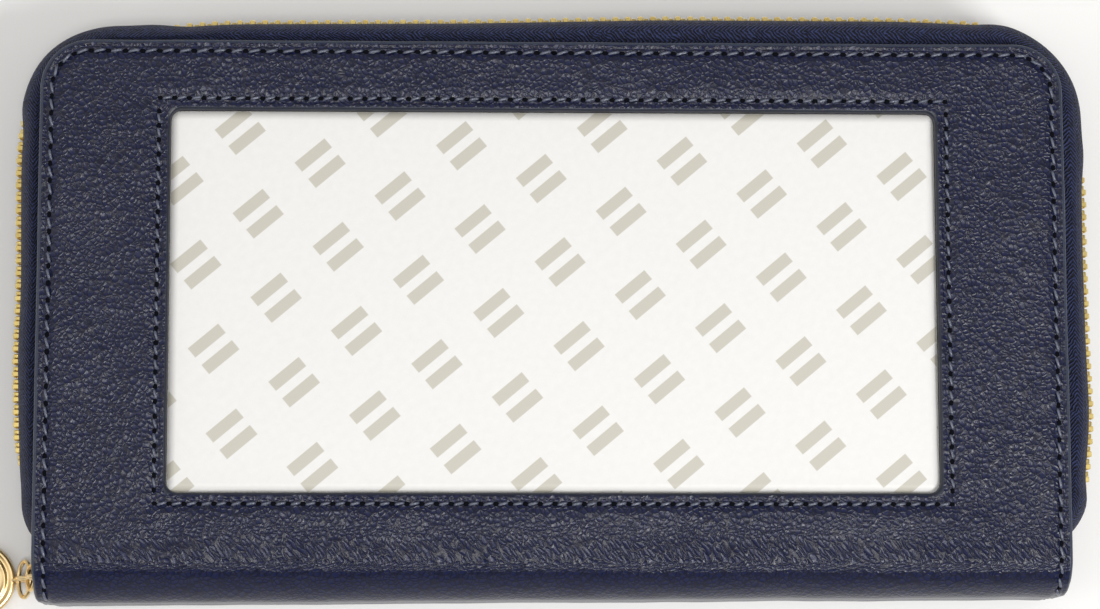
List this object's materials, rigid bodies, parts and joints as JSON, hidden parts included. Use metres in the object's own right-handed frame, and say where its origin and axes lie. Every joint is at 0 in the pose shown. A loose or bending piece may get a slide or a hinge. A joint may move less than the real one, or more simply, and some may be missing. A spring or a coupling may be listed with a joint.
{
  "type": "zip around wallet",
  "caption": "Long zip around wallet in pebbled leather with a recessed picture window in the front cover, metal teeth, a chain puller with a plain medallion, card pockets and a coin pocket.",
  "frame": {"origin": "centre of the flat back face of the closed wallet", "axes": "+X along the spine, +Y from the spine to the opening edge, +Z out of the front cover"},
  "size_m": [0.2113, 0.1105, 0.025],
  "materials": {
    "navy_leather": "pebbled, satin",
    "board": "matte",
    "foam": "matte",
    "lining_cloth": "fine twill",
    "thread": "waxed, satin",
    "zip_tape": "herringbone weave",
    "zip_metal": "polished",
    "gold_chain": "polished",
    "adhesive": "tacky film",
    "liner_paper": "silicone coated, faint printed pattern"
  },
  "bodies": {
    "back_cover": {"back_cover_leather": "navy_leather", "back_board": "board", "back_padding": "foam", "back_lining": "lining_cloth", "back_edge_stitching": "thread", "back_card_pockets_left": "navy_leather", "back_card_pockets_right": "navy_leather", "back_pleats": "lining_cloth", "back_zip_tape": "zip_tape", "back_zip_teeth": "zip_metal"},
    "spine": {"spine_leather": "navy_leather", "spine_lining": "lining_cloth", "spine_edge_stitching": "thread", "coin_wall_back": "lining_cloth", "coin_wall_front": "lining_cloth", "coin_pocket_seam": "lining_cloth", "coin_zip_tapes": "zip_tape", "coin_zip_teeth": "zip_metal", "coin_zip_stops": "zip_metal", "left_zip_end_tapes": "zip_tape", "left_zip_end_teeth": "zip_metal", "right_zip_end_tapes": "zip_tape", "right_zip_end_teeth": "zip_metal", "zip_bottom_stop": "zip_metal"},
    "front_cover": {"front_cover_leather": "navy_leather", "front_frame_board": "board", "front_backing_board": "board", "adhesive_sheet": "adhesive", "front_lining": "lining_cloth", "front_edge_stitching": "thread", "window_stitching": "thread", "front_card_pockets_left": "navy_leather", "front_card_pockets_right": "navy_leather", "front_pleats": "lining_cloth", "front_zip_tape": "zip_tape", "front_zip_teeth": "zip_metal"},
    "zip_slider": {"zip_slider_body": "zip_metal", "zip_slider_crown": "zip_metal"},
    "ring_1": {"pull_ring_1": "gold_chain"},
    "ring_2": {"pull_ring_2": "gold_chain"},
    "ring_3": {"pull_ring_3": "gold_chain"},
    "ring_4": {"pull_ring_4": "gold_chain"},
    "medallion": {"medallion": "gold_chain"},
    "coin_slider": {"coin_slider_body": "zip_metal"},
    "coin_puller": {"coin_puller": "zip_metal"},
    "release_liner": {"release_liner": "liner_paper"}
  },
  "joints": [
    {"name": "back_fold", "type": "hinge", "parent": "back_cover", "child": "spine", "pos_m": [0, -0.0428, 0], "axis": [1, 0, 0], "range_deg": [0, 25], "deforming": ["left_zip_end_tapes", "left_zip_end_teeth", "right_zip_end_tapes", "right_zip_end_teeth"]},
    {"name": "front_fold", "type": "hinge", "parent": "spine", "child": "front_cover", "pos_m": [0, -0.0428, 0.025], "axis": [1, 0, 0], "range_deg": [0, 25]},
    {"name": "zip_slide", "type": "hinge", "parent": "spine", "child": "zip_slider", "pos_m": [-0.087, -0.0336, 0.0125], "axis": [0, 0, -1], "range_deg": [0, 51], "deforming": ["left_zip_end_tapes", "left_zip_end_teeth"]},
    {"name": "ring_1_turn", "type": "hinge", "parent": "zip_slider", "child": "ring_1", "pos_m": [-0.09337, -0.04655, 0.0125], "axis": [0, 1, 0], "range_deg": [0, 30]},
    {"name": "ring_2_turn", "type": "hinge", "parent": "ring_1", "child": "ring_2", "pos_m": [-0.09446, -0.04655, 0.01099], "axis": [0, 1, 0], "range_deg": [-3, 20]},
    {"name": "ring_3_turn", "type": "hinge", "parent": "ring_2", "child": "ring_3", "pos_m": [-0.09625, -0.04655, 0.00763], "axis": [0, 1, 0], "range_deg": [-3, 20]},
    {"name": "ring_4_turn", "type": "hinge", "parent": "ring_3", "child": "ring_4", "pos_m": [-0.09696, -0.04655, 0.00568], "axis": [0, 1, 0], "range_deg": [-3, 20]},
    {"name": "medallion_turn", "type": "hinge", "parent": "ring_4", "child": "medallion", "pos_m": [-0.09749, -0.04655, 0.00191], "axis": [0, 1, 0], "range_deg": [-5, 30]},
    {"name": "coin_slide", "type": "slide", "parent": "spine", "child": "coin_slider", "axis": [-1, 0, 0], "range_m": [0, 0.128], "deforming": ["coin_zip_teeth", "coin_zip_tapes"]},
    {"name": "coin_pull_turn", "type": "hinge", "parent": "coin_slider", "child": "coin_puller", "pos_m": [0.066, 0.04275, 0.0125], "axis": [0, 0, -1], "range_deg": [0, 150]},
    {"name": "liner_lift", "type": "slide", "parent": "front_cover", "child": "release_liner", "axis": [0, 0, 1], "range_m": [0, 0.03]}
  ],
  "couplings": [
    {"joint": "front_fold", "follows": "back_fold", "ratio": 1}
  ]
}
